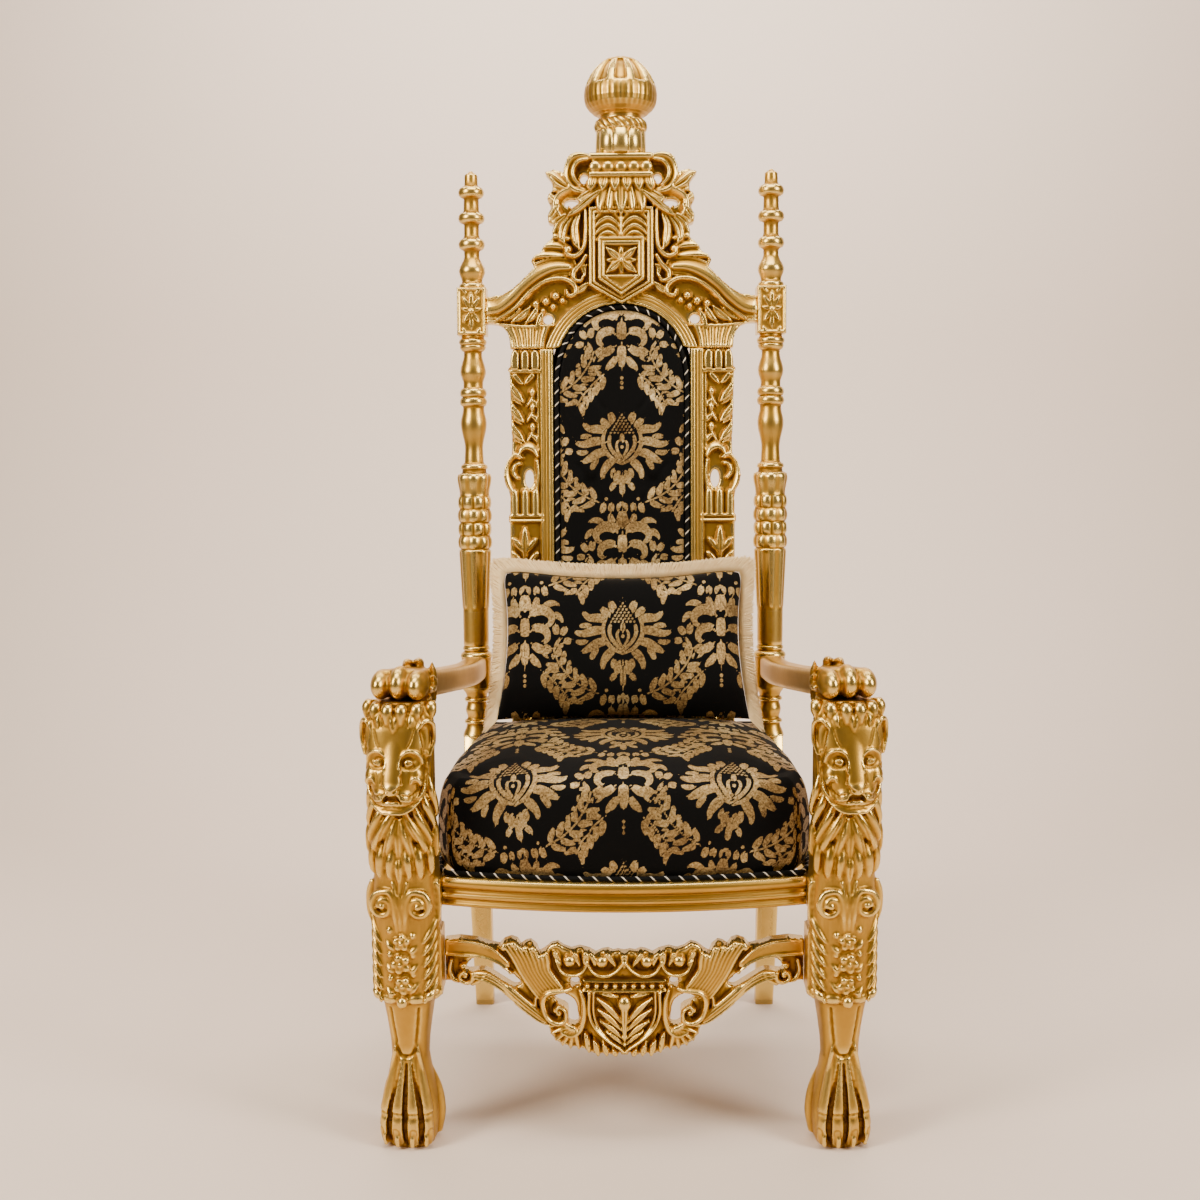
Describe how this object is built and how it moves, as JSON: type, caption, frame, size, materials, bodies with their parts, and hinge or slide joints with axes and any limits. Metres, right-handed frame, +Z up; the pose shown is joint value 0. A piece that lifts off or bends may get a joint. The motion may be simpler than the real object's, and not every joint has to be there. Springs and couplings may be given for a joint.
{
  "type": "throne",
  "caption": "High-backed carved and gilded throne with lion-head columns on paw feet, scrolled arms, turned posts, domed crest, black damask seat and back, and a fringed pillow.",
  "frame": {"origin": "middle of the bounding box's base, on the floor", "axes": "+Z up, the front of the throne faces -Y, +X to the right of someone looking at its front"},
  "size_m": [0.8274, 0.721, 1.8319],
  "materials": {
    "gilt_wood": "carved hardwood under antique gold leaf, semi-gloss, darker in the recesses",
    "damask_velvet": "black velvet with a worn old-gold damask print",
    "rope_piping": "twisted black cord with one pale strand",
    "plain_velvet": "plain black velvet",
    "brush_fringe": "dense cream cut brush fringe",
    "dust_cover": "thin board under black dust cloth"
  },
  "bodies": {
    "root": {"front_leg_left": "gilt_wood", "front_leg_right": "gilt_wood", "arm_left": "gilt_wood", "arm_right": "gilt_wood", "rear_post_left": "gilt_wood", "rear_post_right": "gilt_wood", "back_stile_left": "gilt_wood", "back_stile_right": "gilt_wood", "back_bottom_rail": "gilt_wood", "crest": "gilt_wood", "crown_finial": "gilt_wood", "front_seat_rail": "gilt_wood", "side_seat_rail_left": "gilt_wood", "side_seat_rail_right": "gilt_wood", "rear_seat_rail": "gilt_wood", "front_apron": "gilt_wood", "seat_board": "dust_cover", "seat_upholstery": "damask_velvet", "seat_piping": "rope_piping", "back_upholstery": "damask_velvet", "back_piping": "rope_piping", "outside_back_panel": "plain_velvet", "lumbar_pillow": "damask_velvet", "pillow_fringe": "brush_fringe"}
  },
  "joints": []
}
